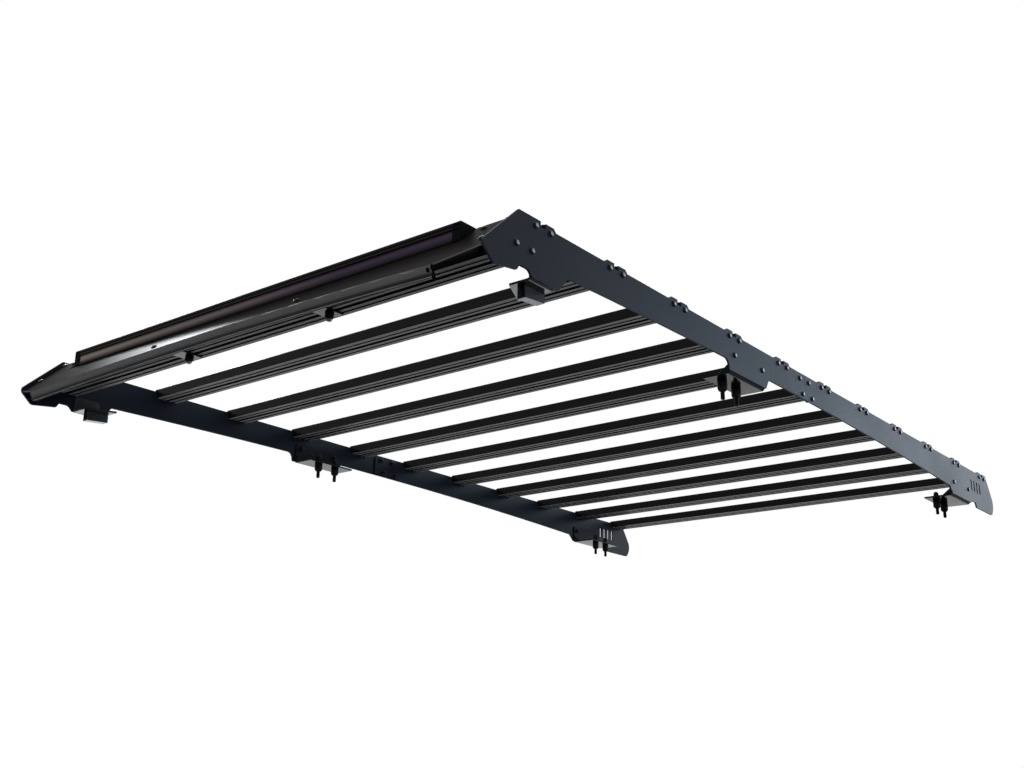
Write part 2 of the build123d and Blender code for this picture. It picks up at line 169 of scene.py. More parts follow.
class Finish:
    """A node tree with one method for making its nodes."""

    def __init__(self, tree):
        self.tree = tree
        tree.nodes.clear()

    def node(self, kind, settings=None, sockets=None, output=0):
        made = self.tree.nodes.new(kind)
        for name, value in (settings or {}).items():
            setattr(made, name, value)
        for name, value in (sockets or {}).items():
            if isinstance(value, Wire):
                self.tree.links.new(value.socket, made.inputs[name])
            else:
                made.inputs[name].default_value = value
        if not made.outputs:
            return made
        return Wire(self, made.outputs[output])

    def mix(self, factor, first, second):
        """A colour between two others."""
        settings = {"data_type": "RGBA", "blend_type": "MIX"}
        return self.node("ShaderNodeMix", settings, {0: factor, 6: first, 7: second}, 2)

    def noise(self, place, scale, detail):
        sockets = {"Vector": place, "Scale": scale, "Detail": detail}
        return self.node("ShaderNodeTexNoise", None, sockets)

    def bump(self, height, strength, distance):
        sockets = {"Strength": strength, "Distance": distance, "Height": height}
        return self.node("ShaderNodeBump", None, sockets)

    def drifting(self, factor, tone, darker, lighter):
        """A written colour that drifts between two shares of itself."""
        return self.mix(factor, shade(tone, darker), shade(tone, lighter))

    def surface(self, sockets):
        """One Principled surface, joined to the output."""
        shader = self.node("ShaderNodeBsdfPrincipled", None, sockets)
        self.node("ShaderNodeOutputMaterial", None, {"Surface": shader})


def new_finish(name):
    """A new material, its finish and the place on the object that its noises follow."""
    material = bpy.data.materials.new(name)
    material.use_nodes = True
    finish = Finish(material.node_tree)
    return material, finish, finish.node("ShaderNodeTexCoord", None, None, "Object")


print("finishes ready")

# %% [markdown]
# The studio is white all round: what the camera or a reflection sees of it is plain white, while
# the light that it casts is softer, so that the black coat keeps its depth. A Light Path node tells
# these rays apart.

# %% World
WHITE = (1, 1, 1)
WORLD_LIGHT = 0.5

world = bpy.data.worlds.new("studio")
scene.world = world
world.use_nodes = True
air = Finish(world.node_tree)
seen = air.node("ShaderNodeLightPath", None, None, "Is Camera Ray")
light_path = seen.socket.node
for ray in ("Is Glossy Ray", "Is Transmission Ray"):
    seen = seen + Wire(air, light_path.outputs[ray])
strength = air.node("ShaderNodeMapRange", None, {0: seen, 3: WORLD_LIGHT, 4: 1.0})
glow = air.node("ShaderNodeBackground", None, {"Color": shade(WHITE), "Strength": strength})
air.node("ShaderNodeOutputWorld", None, {"Surface": glow})
print("world light", WORLD_LIGHT)

# %% [markdown]
# The floor is one-sided. From above it is a pale floor with the rack's shadow, and from below,
# where the photograph was taken, it lets the view through. A curved backdrop could hide its far
# edge, but would stand in the way of other views, so the floor fades out into the white instead.

# %% Floor
FLOOR_TONE = (0.9, 0.9, 0.9)
FLOOR_SIZE = 40.0
FLOOR_FADE = (2.4, 7.5)

half = FLOOR_SIZE / 2
floor_corners = [(-half, -half, 0), (half, -half, 0), (half, half, 0), (-half, half, 0)]
floor_mesh = bpy.data.meshes.new("floor")
floor_mesh.from_pydata(floor_corners, [], [(0, 1, 2, 3)])
floor = bpy.data.objects.new("floor", floor_mesh)
scene.collection.objects.link(floor)

floor_material, paint, spot = new_finish("pale_floor")
pale = paint.node("ShaderNodeBsdfDiffuse", None, {"Color": shade(FLOOR_TONE)})
clear = paint.node("ShaderNodeBsdfTransparent")
from_below = paint.node("ShaderNodeNewGeometry", None, None, "Backfacing")
away = paint.node("ShaderNodeVectorMath", {"operation": "LENGTH"}, {0: spot}, "Value")
faded = paint.node(
    "ShaderNodeMapRange",
    {"interpolation_type": "SMOOTHSTEP"},
    {0: away, 1: FLOOR_FADE[0], 2: FLOOR_FADE[1]},
)
see_through = paint.node("ShaderNodeMath", {"operation": "MAXIMUM"}, {0: from_below, 1: faded})
blend = paint.node("ShaderNodeMixShader", None, {0: see_through, 1: pale, 2: clear})
paint.node("ShaderNodeOutputMaterial", None, {"Surface": blend})
floor_mesh.materials.append(floor_material)
print("floor", FLOOR_SIZE, "m wide, gone at", FLOOR_FADE[1], "m from the rack")

# %% [markdown]
# Four soft lamps stand in for a photographer's panels: a broad one overhead, two behind the tail,
# whose sheen slides along the near rail, and a small one with a grid, far to the right, for the
# pale patch on the fairing's slope. A lamp shows in a coat only where it stands in the mirror's
# way, so each is placed on the reflected line of sight of the piece that it is for.


# %% Lamps
def panel_lamp(name, place, target, size, power, tint=WHITE, spread=180):
    """A rectangular area lamp at a place, facing a target; a grid can narrow its spread."""
    lamp = bpy.data.lights.new(name, "AREA")
    lamp.shape = "RECTANGLE"
    lamp.size, lamp.size_y = size
    lamp.energy = power
    lamp.color = tint
    lamp.spread = radians(spread)
    stand = bpy.data.objects.new(name, lamp)
    stand.location = place
    stand.rotation_mode = "QUATERNION"
    stand.rotation_quaternion = (Vector(target) - Vector(place)).to_track_quat("-Z", "Y")
    scene.collection.objects.link(stand)


COOL = (0.86, 0.93, 1.0)
FAINTLY_COOL = (0.94, 0.97, 1.0)
BLUE = (0.5, 0.72, 1.0)
panel_lamp("overhead_panel", (0, 0.2, 4.5), (0, 0.2, 0), (5, 5), 100)
panel_lamp("tail_panel", (1.75, 5.0, 0.95), (0.6, 1.0, 0.1), (1.6, 1.6), 26, COOL)
panel_lamp(
    "slope_panel", (-1.8, -0.467, 1.32), (-0.2, -1.09, 0.07), (0.56, 0.17), 2.25, FAINTLY_COOL, 52
)
panel_lamp("side_panel", (2.6, 4.1, 1.5), (0.6, -0.2, 0.1), (1.6, 1.6), 30, BLUE)

# %% [markdown]
# Nearly everything on the rack is powder coated: a dark paint baked on as dust, with a very fine
# orange peel that breaks up reflections. Two noises make it, one for the peel as bump and one that
# drifts slowly in tone and gloss. The undersides carry painted light: a paler tone, a smoother gloss
# and on some pieces a mirror metal, so that they look lit from below and mirror the pale floor. They
# could be a material of their own, but the surface's normal says which way a face looks, so a narrow
# range of it marks them without picking any faces.

# %% Powder coat
LOOKS_DOWN = (-0.9, -0.97)
PEEL_STRENGTH = 0.12
PEEL_DISTANCE = 0.0004
GLOSS_DRIFT = 0.06


def powder_coat(name, tone, roughness, specular, streaks=None, painted_underside=None):
    """A satin coat; streaks are noise per metre, and the last argument is painted light on the
    undersides: tone, metal and gloss.
    """
    material, finish, place = new_finish(name)
    if streaks:
        lines = finish.noise(place * streaks, 1, 2)
        drift = finish.node("ShaderNodeMapRange", None, {0: lines, 1: 0.3, 2: 0.7})
    else:
        drift = finish.noise(place, 7, 4)
    colour = finish.drifting(drift, tone, 0.75, 1.3)
    gloss = roughness - GLOSS_DRIFT + 2 * GLOSS_DRIFT * drift
    metal = 0.0
    # Painted light: faces that look down get a paler tone, a smoother gloss and metal.
    if painted_underside:
        painted_light_tone, low_metal, low_gloss = painted_underside
        facing = finish.node("ShaderNodeNewGeometry", None, None, "Normal")
        upward = finish.node("ShaderNodeSeparateXYZ", None, {0: facing}, "Z")
        limits = {0: upward, 1: LOOKS_DOWN[0], 2: LOOKS_DOWN[1]}
        below = finish.node("ShaderNodeMapRange", None, limits)
        colour = finish.mix(below, colour, finish.drifting(drift, painted_light_tone, 0.85, 1.1))
        gloss = gloss - below * (gloss - low_gloss)
        metal = low_metal * below
    peel = finish.bump(finish.noise(place, 900, 2), PEEL_STRENGTH, PEEL_DISTANCE)
    finish.surface(
        {
            "Base Color": colour,
            "Metallic": metal,
            "Roughness": gloss,
            "Specular IOR Level": specular,
            "Normal": peel,
        }
    )
    return material


def dress(material, *nodes):
    """Give CAD nodes a material."""
    for name in nodes:
        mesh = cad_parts[name].data
        mesh.materials.clear()
        mesh.materials.append(material)


print("powder coat ready")

# %% [markdown]
# The coats differ a little, as pieces coated in different batches do. The rails are bluish, the
# front feet are greyer and carry the palest painted light on their undersides, and the slats show
# fine streaks along the extrusion. A streak is the same noise, stretched: few lumps a metre along
# the slat and many across it.

# %% Coats of the rails, feet, slats and light bar
FOOT_TONE = (0.007, 0.0085, 0.012)
SLAT_TONE = (0.004, 0.004, 0.0042)
# Painted light on the undersides: the tone, metal and gloss of each coat where its faces look down.
FOOT_PAINTED_UNDERSIDE = ((0.08, 0.078, 0.078), 1.0, 0.1)
BLOCK_PAINTED_UNDERSIDE = ((0.26, 0.255, 0.255), 1.0, 0.1)
STRIP_PAINTED_UNDERSIDE = ((0.09, 0.09, 0.09), 1.0, 0.15)
SLAT_PAINTED_UNDERSIDE = ((0.13, 0.13, 0.13), 0.0, 0.3)
SLAT_STREAKS = (2.5, 190, 190)

rail_coat = powder_coat("rail_coat", (0.006, 0.0095, 0.0165), 0.42, 0.07)
bracket_coat = powder_coat("bracket_coat", FOOT_TONE, 0.42, 0.05, painted_underside=FOOT_PAINTED_UNDERSIDE)
block_coat = powder_coat("block_coat", (0.034, 0.041, 0.05), 0.42, 0.05, painted_underside=BLOCK_PAINTED_UNDERSIDE)
strip_coat = powder_coat("strip_coat", FOOT_TONE, 0.42, 0.05, painted_underside=STRIP_PAINTED_UNDERSIDE)
slat_coat = powder_coat("slat_coat", SLAT_TONE, 0.3, 0.06, SLAT_STREAKS, SLAT_PAINTED_UNDERSIDE)
housing_coat = powder_coat("housing_coat", (0.009, 0.0085, 0.009), 0.4, 0.03)
cap_coat = powder_coat("cap_coat", SLAT_TONE, 0.5, 0.01)
for side, outward in SIDES:
    dress(rail_coat, f"{side}_rail_front", f"{side}_rail_rear", f"{side}_splice_plate")
    dress(bracket_coat, f"{side}_mid_foot_bracket", f"{side}_rear_foot_bracket")
    dress(bracket_coat, f"{side}_light_bar_bracket")
    dress(block_coat, f"{side}_front_foot_bracket", f"{side}_front_foot_block")
    dress(strip_coat, f"{side}_fairing_bracket")
    dress(cap_coat, f"{side}_light_bar_end_cap")
dress(housing_coat, "light_bar_housing")
slats = sorted(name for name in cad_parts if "slat" in name)
dress(slat_coat, *slats)
print("coated slats", len(slats))

# %% [markdown]
# The fairing has a smoother coat than the rest. Seen along its slope from the camera, it mirrors one
# bright panel and stays dark elsewhere, while its bend is duller. Its lip is a lighter satin, which
# is painted light: a lighter tone than the slope for the light that the lip catches, facing down and
# forward. Each part could have its own material, but the sheet is one piece with a round bend, so
# its normal says how much of each there is: it drives the weight of a thin glaze, the coat of the
# Principled shader, and the mix of two tones below it.

# %% Fairing coat
FAIRING_SLOPE = radians(42.6)
SLOPE_TONE = (0.006, 0.005, 0.0042)
# Painted light: the lip's tone is lighter than the slope's, for the light that the lip catches.
LIP_PAINTED_LIGHT_TONE = (0.085, 0.085, 0.088)
SLOPE_GLAZE = 0.11
BEND_GLAZE = 0.025
fairing_normal = Vector((0, -sin(FAIRING_SLOPE), cos(FAIRING_SLOPE)))
lip_normal = Vector((0, -cos(FAIRING_SLOPE), -sin(FAIRING_SLOPE)))

fairing_coat, glaze, place = new_finish("fairing_coat")
facing = glaze.node("ShaderNodeNewGeometry", None, None, "Normal")


def alike(direction, least, most):
    """How far the surface faces a direction, from 0 at the least likeness to 1 at the most."""
    settings = {"operation": "DOT_PRODUCT"}
    dot = glaze.node("ShaderNodeVectorMath", settings, {0: facing, 1: direction}, "Value")
    return glaze.node("ShaderNodeMapRange", None, {0: dot, 1: least, 2: most})


on_slope = alike(fairing_normal, 0.9985, 0.9999)
# Painted light: how far a face turns towards the lip, which takes the lighter tone.
lit_lip_mask = alike(lip_normal, 0.03, 0.3)
drift = glaze.noise(place, 5, 3)
slope_colour = glaze.drifting(drift, SLOPE_TONE, 0.9, 1.15)
lip_painted_light = glaze.drifting(drift, LIP_PAINTED_LIGHT_TONE, 0.8, 1.25)
glaze.surface(
    {
        "Base Color": glaze.mix(lit_lip_mask, slope_colour, lip_painted_light),
        "Roughness": 0.5 + 0.08 * drift,
        "Specular IOR Level": 0.0,
        "Coat Weight": BEND_GLAZE + (SLOPE_GLAZE - BEND_GLAZE) * on_slope,
        "Coat Roughness": 0.26,
        "Normal": glaze.bump(glaze.noise(place, 700, 2), 0.04, PEEL_DISTANCE),
    }
)
dress(fairing_coat, "wind_fairing")
print("fairing normal", tuple(round(v, 3) for v in fairing_normal))

# %% [markdown]
# The trim on the fairing's lip is rubber, which is dull, grained and blotched with bloom. A plain
# rough black would do from afar. Up close the grain as bump and the bloom as a drift in tone and
# gloss keep it from looking like paint. A thin bead of the same rubber in grey is a painted
# highlight along the bulb.


# %% Rubber
def rubber(name, tone, roughness):
    material, finish, place = new_finish(name)
    bloom = finish.noise(place, 12, 3)
    finish.surface(
        {
            "Base Color": finish.drifting(bloom, tone, 0.75, 1.3),
            "Roughness": roughness - 0.05 + 0.1 * bloom,
            "Specular IOR Level": 0.15,
            "Normal": finish.bump(finish.noise(place, 350, 5), 0.2, 0.0005),
        }
    )
    return material


edge_rubber = rubber("edge_rubber", (0.005, 0.005, 0.0053), 0.35)
# Painted highlight: the grey rubber of the bead along the trim.
painted_highlight_grey = rubber("painted_highlight_grey", (0.17, 0.17, 0.17), 0.5)
print("rubber", edge_rubber.name, painted_highlight_grey.name)

# %% [markdown]
# The lens is tinted plastic over dark lamps, with fine upright flutes, and its coating turns from
# brown to violet along the bar. Real lamps and reflectors behind clear plastic would be slow to
# render and too dark to see, so the glimmer that they give is a painted highlight: a soft band in
# the colour, brightest a little above the middle, with painted shade above and below it.

# %% Tinted lens
LENS_BROWN = (0.27, 0.222, 0.19)
LENS_VIOLET = (0.056, 0.036, 0.067)
LENS_PAINTED_SHADE = (0.01, 0.008, 0.009)
PAINTED_GLIMMER_HEIGHT = 0.22
PAINTED_GLIMMER_FALL = 0.9
FLUTES_SCALE = 55

lens_tint, tint, place = new_finish("lens_tint")
across = tint.node("ShaderNodeSeparateXYZ", None, {0: place}, "X")
upward = Wire(tint, across.socket.node.outputs["Z"])
low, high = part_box("light_bar_lens")
turned_at = 0.75 * high.x + 0.25 * low.x
turn = tint.node("ShaderNodeMapRange", None, {0: across, 1: low.x, 2: turned_at})
limits = {0: upward, 1: low.z, 2: high.z, 3: -1.0, 4: 1.0}
height = tint.node("ShaderNodeMapRange", None, limits)
from_band = tint.node("ShaderNodeMath", {"operation": "ABSOLUTE"}, {0: height - PAINTED_GLIMMER_HEIGHT})
painted_glimmer = 1 - PAINTED_GLIMMER_FALL * from_band
haze = tint.noise(place, 3, 2)
brownish = tint.drifting(haze, LENS_BROWN, 0.7, 1.3)
violetish = tint.drifting(haze, LENS_VIOLET, 0.7, 1.3)
bands = {"wave_type": "BANDS", "bands_direction": "X"}
flutes = tint.node("ShaderNodeTexWave", bands, {"Vector": place, "Scale": FLUTES_SCALE})
tint.surface(
    {
        # Painted highlight and shade: the band of glimmer across the lens, dark above and below it.
        "Base Color": tint.mix(painted_glimmer, shade(LENS_PAINTED_SHADE), tint.mix(turn, brownish, violetish)),
        "Roughness": 0.3 + 0.1 * haze,
        "Specular IOR Level": 0.04,
        "Normal": tint.bump(flutes, 0.1, 0.0004),
    }
)
dress(lens_tint, "light_bar_lens")
print("lens turns violet at x", round(turned_at, 3))

# %% [markdown]
# Studs and bolts are blackened steel. The rims of their sockets are bright bare steel, a painted
# glint, and the ends of a few bolts are plain zinc. One recipe makes them all: spots of noise that
# change tone and gloss together, as wear does, with the metal switched on where no black is left.
# The seals of the light bar and the tube ends borrow it in a dull black with no sheen, which paints
# the shade of the grooves and hollows that they lie in.


# %% Steel of studs, bolts and seals
def bolt_steel(name, tone, roughness, metallic, specular):
    material, finish, place = new_finish(name)
    spots = finish.noise(place, 240, 4)
    finish.surface(
        {
            "Base Color": finish.drifting(spots, tone, 0.7, 1.3),
            "Roughness": roughness - 0.08 + 0.16 * spots,
            "Metallic": metallic,
            "Specular IOR Level": specular,
        }
    )
    return material


stud_black = bolt_steel("stud_black", (0.005, 0.005, 0.0055), 0.42, 0.0, 0.08)
bolt_black = bolt_steel("bolt_black", (0.006, 0.0065, 0.008), 0.32, 0.0, 0.1)
# Painted glint: bright bare steel for the rims over the sockets.
painted_glint_steel = bolt_steel("painted_glint_steel", (0.24, 0.245, 0.26), 0.3, 1.0, 0.5)
# Painted shade: near black with no sheen, for seals and tube ends in their grooves and hollows.
painted_shade_black = bolt_steel("painted_shade_black", (0.0012, 0.0012, 0.0013), 0.6, 0.0, 0.0)
bolt_zinc = bolt_steel("bolt_zinc", (0.25, 0.25, 0.26), 0.35, 0.8, 0.5)
print("materials", len(bpy.data.materials))

# %% [markdown]
# Bolts, washers and nuts are all turned shapes with a polygon somewhere: a hexagon socket in a
# button head, or six flats on a nut. They could be cylinders cut by booleans, but one list of rings
# makes any of them with clean faces. Each ring has a radius, a height and, where it isn't round,
# its number of sides.

# %% Turned bodies
SEGMENTS = 24


def ring_points(radius, height, flats=0):
    """One ring round the axis; with flats, the radius is that of the circle inside the polygon."""
    points = []
    for step in range(SEGMENTS):
        angle = 2 * pi * step / SEGMENTS
        reach = radius
        if flats:
            wedge = 2 * pi / flats
            reach = radius / cos(angle % wedge - wedge / 2)
        points.append(Vector((reach * cos(angle), reach * sin(angle), height)) * MM)
    return points


def skin(rows):
    """Corners and faces of a closed body from rings of points, lowest first."""
    corners = [point for row in rows for point in row]
    count = len(rows[0])
    faces = []
    for low in range(0, count * (len(rows) - 1), count):
        for step in range(count):
            after = (step + 1) % count
            faces.append((low + step, low + after, low + count + after, low + count + step))
    faces.append(tuple(reversed(range(count))))
    faces.append(tuple(range(len(corners) - count, len(corners))))
    return corners, faces


def turned(*rings):
    """A turned body from rings in millimetres."""
    return skin([ring_points(*ring) for ring in rings])


print("rings of", SEGMENTS, "points")

# %% [markdown]
# The rack has about a hundred fasteners. Each could be an object, or an instance from a node group,
# but copies joined into one mesh for each set of places are light and need no modifier. Each copy is
# turned a bit further than the last, since nobody leaves all the sockets in line.

# %% Copies at many places
COPY_TURN = 0.7


def add_piece(name, corners, faces, material, crease=35):
    """A mesh that rides on the rack, shaded smooth except at its sharp edges."""
    mesh = bpy.data.meshes.new(name)
    mesh.from_pydata([tuple(corner) for corner in corners], [], faces)
    mesh.validate()
    mesh.shade_smooth()
    mesh.set_sharp_from_angle(angle=radians(crease))
    mesh.materials.append(material)
    piece = bpy.data.objects.new(name, mesh)
    scene.collection.objects.link(piece)
    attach(piece, "root")
    return piece


def set_bodies(name, bodies, places, material=bolt_black):
    """Copies of bodies at places, each a point and the direction that its axis takes."""
    corners = []
    faces = []
    for number, (point, axis) in enumerate(places):
        turn = Vector(axis).to_track_quat("Z", "Y") @ Quaternion((0, 0, 1), COPY_TURN * number)
        matrix = Matrix.Translation(point) @ turn.to_matrix().to_4x4()
        for body_corners, body_faces in bodies:
            first = len(corners)
            corners += [matrix @ corner for corner in body_corners]
            faces += [tuple(first + index for index in face) for face in body_faces]
    piece = add_piece(name, corners, faces, material)
    print(name, len(places), "places", len(faces), "faces")
    return piece


print("copies turn by", COPY_TURN, "rad")

# %% [markdown]
# Two button heads hold each end of a slat to the rail. A button head is a low dome with a
# hexagon socket. More of them cross the seam of the rail and hold the legs of the middle and rear
# feet. The socket is the last rings of the same list, turned back down into the dome, and a thin
# bright rim lies over its edge as a painted glint.

# %% Bolts on the rails' outer faces
HEAD_DOME = ((5.3, 0), (5.5, 0.3), (5.4, 1.0), (4.9, 2.0), (4.0, 2.8), (3.0, 3.2))
HEAD_SOCKET = ((2.3, 3.3, 6), (2.1, 3.1, 6), (2.1, 1.3, 6))
BUTTON_HEAD = turned(*HEAD_DOME, *HEAD_SOCKET)
SOCKET_RIM = turned((3.2, 3.0), (3.1, 3.35), (2.3, 3.45, 6), (2.05, 3.3, 6), (2.0, 1.4, 6))
SCREW_SPACING = 38
SCREW_LOW = 1.75
SPLICE_BOLTS = ((-28.0, 16.0), (14.0, 16.0), (-17.5, -16.0), (27.0, -16.0))
FOOT_BOLTS = {"mid": (111.8, -41.0), "rear": (111.0, -60.0)}


def joint_places(side):
    """Where bolts go through the seam's plate and the feet's legs, as y and z."""
    seam = box_middle(f"{side}_splice_plate")
    places = [(seam.y + y * MM, seam.z + z * MM) for y, z in SPLICE_BOLTS]
    for foot, (spacing, depth) in FOOT_BOLTS.items():
        middle = box_middle(f"{side}_{foot}_foot_bracket").y
        for end in (-1, 1):
            places.append((middle + end * spacing / 2 * MM, rail_top_z + depth * MM))
    return places


for side, outward in SIDES:
    spots = joint_places(side)
    for slat in slats:
        middle = box_middle(slat)
        height = middle.z - SCREW_LOW * MM
        spots += [(middle.y + end * SCREW_SPACING / 2 * MM, height) for end in (-1, 1)]
    heads = [(Vector((outward * outer_x, y, z)), (outward, 0, 0)) for y, z in spots]
    set_bodies(f"{side}_rail_bolts", [BUTTON_HEAD], heads)
    # Painted glint: a bright rim over each socket.
    set_bodies(f"{side}_rail_bolt_sockets", [SOCKET_RIM], heads, painted_glint_steel)

# %% [markdown]
# On the inside the same bolts end in hexagon nuts with a stub of thread showing. The plate over
# the seam and the legs of the feet are both one plate thick, so one offset serves them all.

# %% Nuts on the inner faces
PLATE = 4
WASHER = turned((6.0, 0), (6.4, 0.2), (6.4, 1.0), (6.1, 1.2))
NUT = turned((4.9, 1.2), (5.1, 1.6, 6), (5.1, 5.8, 6), (4.9, 6.3), (3.3, 6.4), (3.2, 5.4))
BOLT_END = turned((3.0, 1.2), (3.0, 8.0), (2.4, 8.6))
inside = inner_x - PLATE * MM
for side, outward in SIDES:
    nuts = [(Vector((outward * inside, y, z)), (-outward, 0, 0)) for y, z in joint_places(side)]
    set_bodies(f"{side}_rail_nuts", [WASHER, NUT, BOLT_END], nuts)

# %% [markdown]
# A stud under a foot is a threaded rod. A thread can be a screw modifier on a small profile, but a
# grid of rings whose radius follows the turn is as short and closes its own ends. The rod thins to
# a chamfer at both ends.

# %% Threaded rod
STUD_RADIUS = 4.5
THREAD_PITCH = 1.75
THREAD_DEPTH = 0.75
RINGS_PER_TURN = 6
CHAMFER = 1.4


def threaded_rod(length):
    """A rod from height zero upwards with a helical thread and chamfered ends."""
    rows = []
    count = int(length / THREAD_PITCH * RINGS_PER_TURN)
    for row in range(count + 1):
        height = length * row / count
        from_end = min(height, length - height)
        limit = STUD_RADIUS - max(0, CHAMFER - from_end)
        ring = []
        for step in range(SEGMENTS):
            phase = (height / THREAD_PITCH - step / SEGMENTS) % 1
            radius = min(STUD_RADIUS - THREAD_DEPTH * abs(2 * phase - 1), limit)
            angle = 2 * pi * step / SEGMENTS
            ring.append(Vector((radius * cos(angle), radius * sin(angle), height)) * MM)
        rows.append(ring)
    return skin(rows)


print("thread", THREAD_PITCH, "mm a turn")

# %% [markdown]
# Each stud stands in a black sleeve with a tapered lower end, which stops against the foot's
# flange, and above the flange a washer and a tall cap nut hold it. They are turned like the bolts,
# with their rings moved to where the flange lies. The threaded set takes the place of the plain
# studs of the CAD.

# %% Studs with sleeves and nuts
STUD_SPACING = 55
STUD_TIP = 16.5
STUD_EXTRA = 5
FLANGE = 4
SLEEVE_FOOT = ((5.2, 0), (6.6, 0.2), (7.6, 1.2), (9.0, 3.6), (9.4, 4.8), (9.5, 6.0))
SLEEVE_HEAD = ((9.5, -0.8), (9.2, 0))
STUD_WASHER = ((9.2, 0), (9.6, 0.2), (9.6, 1.4), (9.2, 1.6))
NUT_FLATS = ((6.0, 1.6), (6.3, 2.2, 6), (6.3, 11, 6), (6.1, 12))
NUT_CAP = ((6.0, 16.4), (5.6, 17), (4.8, 17), (4.6, 15))


def raised(rings, rise):
    """The same rings, moved up the axis."""
    return [(ring[0], ring[1] + rise, *ring[2:]) for ring in rings]


for side, outward in SIDES:
    for foot in ("mid", "rear"):
        node = f"{side}_{foot}_foot_studs"
        low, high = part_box(node)
        middle = (low + high) / 2
        sleeve_high = (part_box(f"{side}_{foot}_foot_bracket")[0].z - low.z) / MM
        top = sleeve_high + FLANGE
        rod = threaded_rod((high.z - low.z) / MM + STUD_EXTRA)
        sleeve = turned(*raised(SLEEVE_FOOT, STUD_TIP), *raised(SLEEVE_HEAD, sleeve_high))
        washer = turned(*raised(STUD_WASHER, top))
        nut = turned(*raised(NUT_FLATS + NUT_CAP, top))
        spots = []
        for end in (-1, 1):
            foot_point = Vector((middle.x, middle.y + end * STUD_SPACING / 2 * MM, low.z))
            spots.append((foot_point, (0, 0, 1)))
        studs = set_bodies(f"{node}_threaded", [rod, sleeve, washer, nut], spots, stud_black)
        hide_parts(node)

# %% [markdown]
# The fairing is a flat sheet that slopes back at 42.6 degrees. Its bolts lie on that slope, so
# their places are easiest to give in the sheet's own two directions: across, and along the slope.

# %% Bolts of the fairing
FAIRING_Y = -80
FAIRING_Z = -22
STRIP_BOLTS = {"left": (199, -67.5), "right": (182, -70.3)}
FACE_BOLTS = ((548, 14), (590, 22), (584, -50))
SHEET = 2.5
STRIP = 4


def on_fairing(x, along, depth=0):
    """A place on the sheet, x across and along its slope, or that far behind its face."""
    y = FAIRING_Y + along * cos(FAIRING_SLOPE) + depth * sin(FAIRING_SLOPE)
    z = FAIRING_Z + along * sin(FAIRING_SLOPE) - depth * cos(FAIRING_SLOPE)
    return rack_place(x, y, z)


for side, outward in SIDES:
    strip_x, strip_along = STRIP_BOLTS[side]
    face_bolts = FACE_BOLTS + ((strip_x, strip_along),)
    heads = [(on_fairing(outward * x, along), fairing_normal) for x, along in face_bolts]
    # Painted glint: bright rims on the sockets of the face bolts.
    glint_heads = heads[: len(FACE_BOLTS)]
    set_bodies(f"{side}_fairing_bolts", [BUTTON_HEAD], heads)
    set_bodies(f"{side}_fairing_bolt_sockets", [SOCKET_RIM], glint_heads, painted_glint_steel)
    behind = on_fairing(outward * strip_x, strip_along, SHEET + STRIP)
    set_bodies(f"{side}_fairing_nut", [WASHER, NUT, BOLT_END], [(behind, -fairing_normal)])

# %% [markdown]
# Under the lower slat each strip hangs on one T-bolt from the slat's slot. Below the strip it
# shows a washer, a lock nut with a round collar and the bolt's own rounded zinc end. The front feet
# have two button heads inside their channel blocks.

# %% Lock nuts under the strips, and bolts in the front feet
WIDE_WASHER = turned((7.9, 0), (8.2, 0.2), (8.2, 1.4), (7.9, 1.6))
LOCK_FLATS = ((6.5, 1.6), (6.9, 2.1, 6), (6.9, 6.4, 6), (6.7, 7.0))
LOCK_COLLAR = ((6.4, 7.4), (6.2, 8.4), (5.4, 9.0), (4.2, 9.0))
LOCK_NUT = turned(*LOCK_FLATS, *LOCK_COLLAR)
ZINC_END = turned((4.6, 8.6), (4.6, 11.4), (4.2, 12.2), (3.2, 12.8), (1.6, 13.2))
BLOCK_BOLTS = (-10, 12)
DOWN = (0, 0, -1)
slat_middle = box_middle("front_lower_slat")
strip_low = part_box("front_lower_slat")[0].z - STRIP * MM
for side, outward in SIDES:
    low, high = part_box(f"{side}_fairing_bracket")
    hang = [(Vector(((low.x + high.x) / 2, slat_middle.y, strip_low)), DOWN)]
    set_bodies(f"{side}_strip_nut", [WIDE_WASHER, LOCK_NUT], hang)
    set_bodies(f"{side}_strip_bolt_end", [ZINC_END], hang, bolt_zinc)
    block = box_middle(f"{side}_front_foot_block")
    flange_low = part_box(f"{side}_front_foot_bracket")[0].z
    spots = [(Vector((block.x, block.y + y * MM, flange_low)), DOWN) for y in BLOCK_BOLTS]
    set_bodies(f"{side}_block_bolts", [BUTTON_HEAD], spots)

# %% [markdown]
# The rubber trim follows the arched lower edge of the fairing. A curve with a bevel could carry
# its profile, but would roll it at the ends. So the profile is copied along the arch, always square
# to the sheet, and neighbouring copies are joined.

# %% The arch and the sweep along it
NOSE_X = 529
NOSE_MID = -89.5
NOSE_END = -120
ARCH_STEPS = 64
rise = NOSE_MID - NOSE_END
arch_radius = (NOSE_X**2 + rise**2) / (2 * rise)


def nose_along(x):
    """Where the arched edge lies along the slope, at x across."""
    return NOSE_MID - arch_radius + sqrt(arch_radius**2 - x * x)


def swept(profile):
    """Rows of points: a profile of (shift, depth) pairs, copied along the arch."""
    rows = []
    for step in range(ARCH_STEPS + 1):
        x = NOSE_X * (2 * step / ARCH_STEPS - 1)
        rows.append([on_fairing(x, nose_along(x) + shift, depth) for shift, depth in profile])
    return rows


print("arch radius", round(arch_radius), "mm")

# %% [markdown]
# The trim is pressed over the fairing's lip: a grip like a U, and under it a hollow bulb that lies
# on the car's roof. Between them runs a thin pale bead, a painted highlight. The bulb is open at its
# ends, so it has an outer and an inner skin, joined by a ring at each end.

